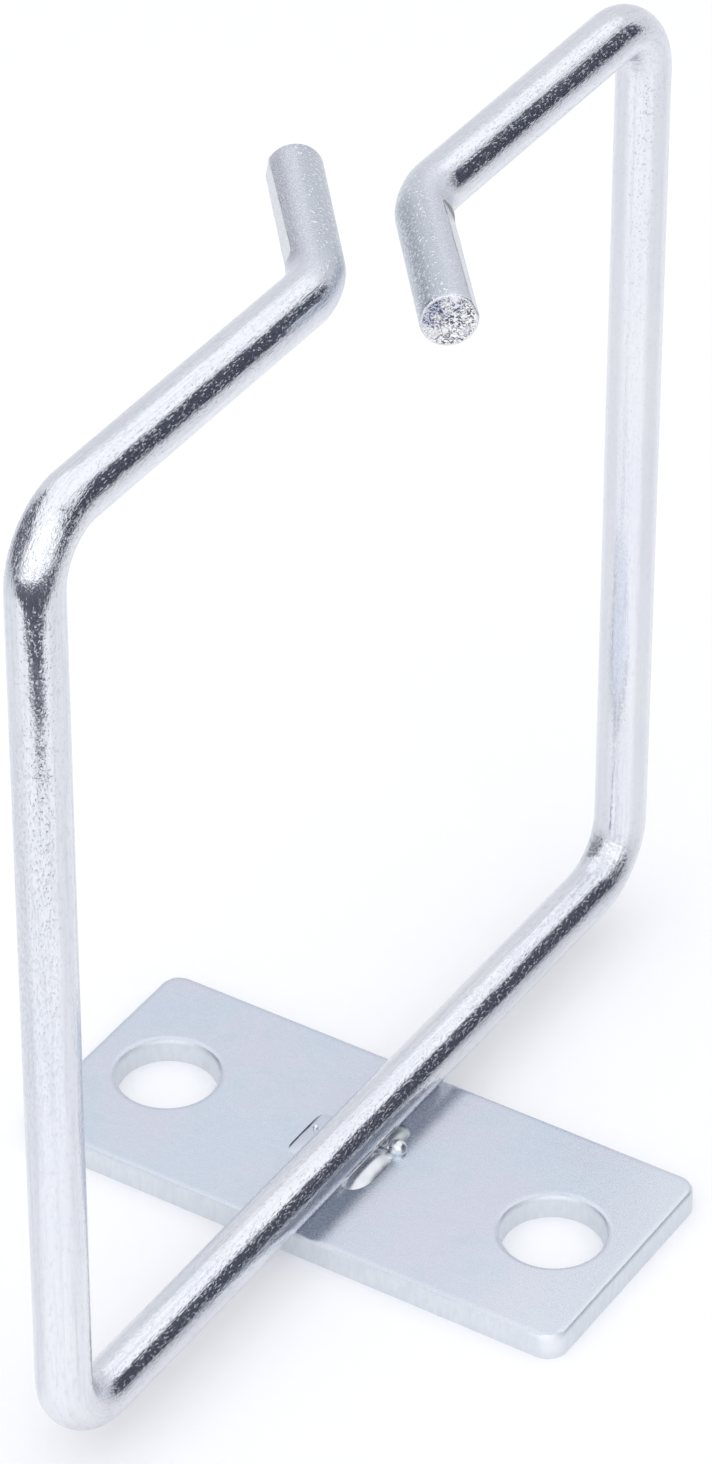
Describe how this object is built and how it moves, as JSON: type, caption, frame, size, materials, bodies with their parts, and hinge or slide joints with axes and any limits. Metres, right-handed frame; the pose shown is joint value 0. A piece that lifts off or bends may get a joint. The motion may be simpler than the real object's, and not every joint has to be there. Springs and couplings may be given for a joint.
{
  "type": "cable hook",
  "caption": "Wall hook for cables: steel wire bent into an open square ring with turned ends, welded upright on a drilled mounting plate, bright zinc finish.",
  "frame": {"origin": "centre of the mounting plate's back, the face that lies on the wall", "axes": "+X along the plate, +Y along the wire's base run, +Z away from the wall"},
  "size_m": [0.058, 0.1, 0.1025],
  "materials": {
    "plate_zinc": "bright zinc plating with a pale blue passivation, satin, on strip steel",
    "wire_zinc": "bright zinc plating on drawn round wire, glossy with fine drawing marks",
    "weld_zinc": "bright zinc plating over smooth weld metal"
  },
  "bodies": {
    "root": {"mounting_plate": "plate_zinc", "bent_wire": "wire_zinc", "weld_bead_right": "weld_zinc", "weld_bead_left": "weld_zinc"}
  },
  "joints": []
}
